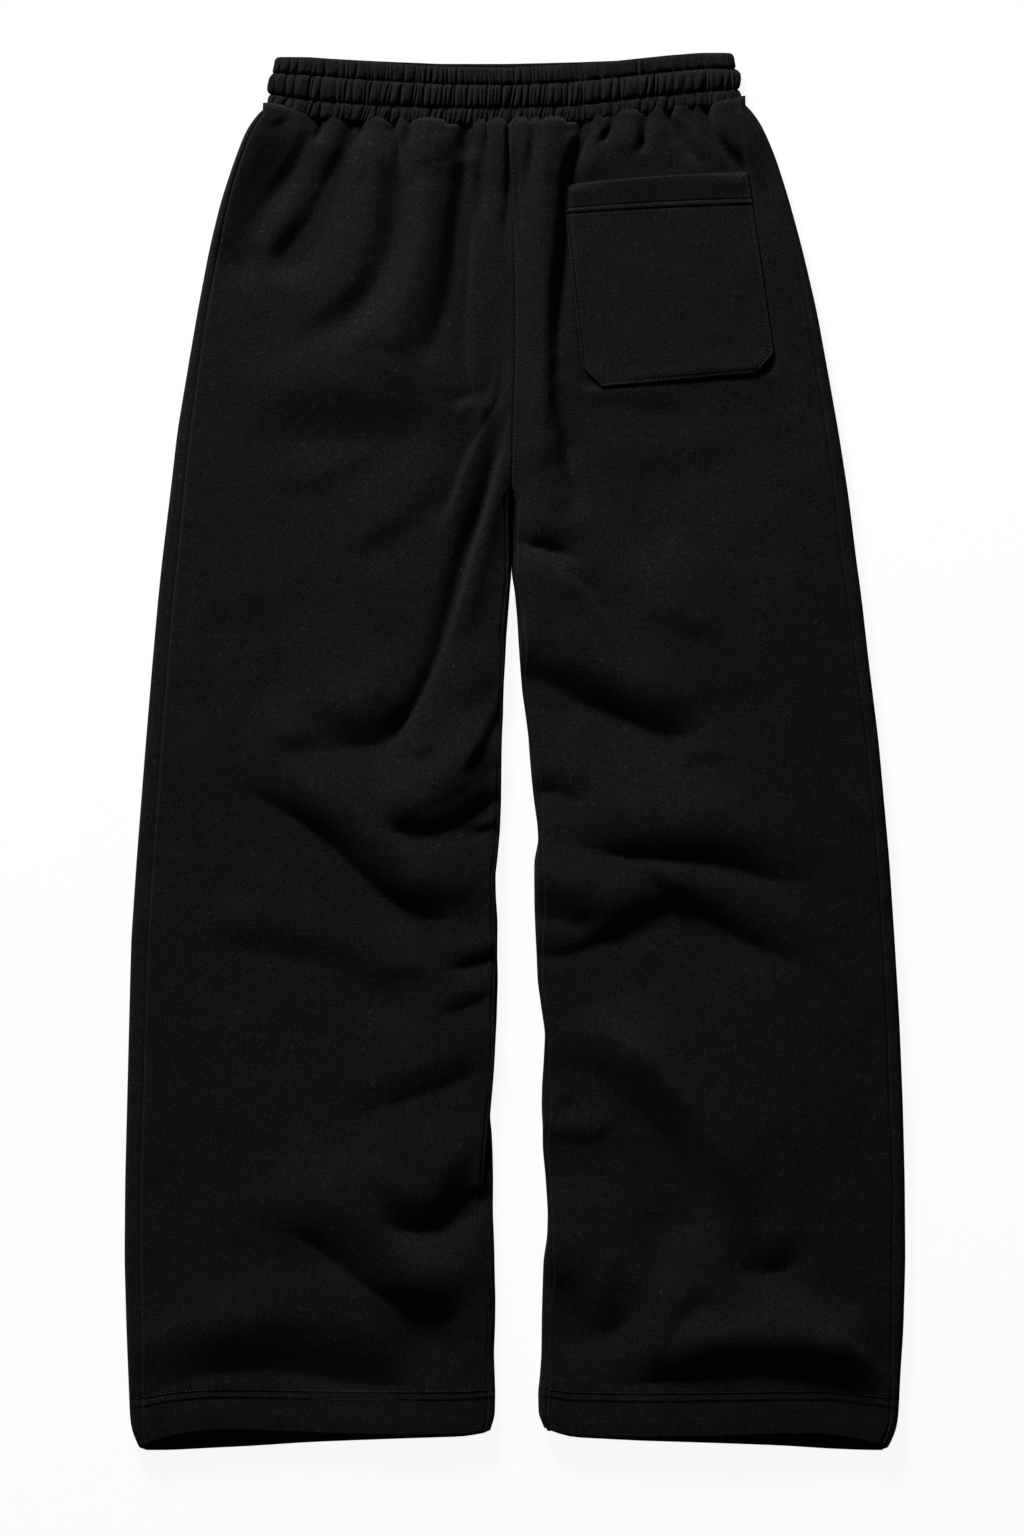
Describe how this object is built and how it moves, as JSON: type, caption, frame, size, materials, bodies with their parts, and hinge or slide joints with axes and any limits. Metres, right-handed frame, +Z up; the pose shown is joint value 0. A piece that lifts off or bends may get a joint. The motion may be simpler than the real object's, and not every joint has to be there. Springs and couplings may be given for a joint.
{
  "type": "wide-leg sweatpants",
  "caption": "Wide-leg sweatpants laid flat with the back up: gathered elastic waistband, patch pocket and open turned hems.",
  "frame": {"origin": "centre of the bounding box's underside, on the surface the garment lies on", "axes": "+X towards the wearer's right, +Y towards the waistband, +Z up out of the garment's back"},
  "size_m": [0.582, 1.04, 0.0156],
  "materials": {
    "fleece": "matt black brushed fleece with a soft nap",
    "waistband": "matt black fleece gathered over elastic",
    "pocket": "matt black brushed fleece, edge-stitched"
  },
  "bodies": {
    "root": {"back_panel_left": "fleece", "back_panel_right": "fleece", "front_panel_left": "fleece", "front_panel_right": "fleece", "waistband": "waistband", "back_pocket": "pocket"}
  },
  "joints": []
}
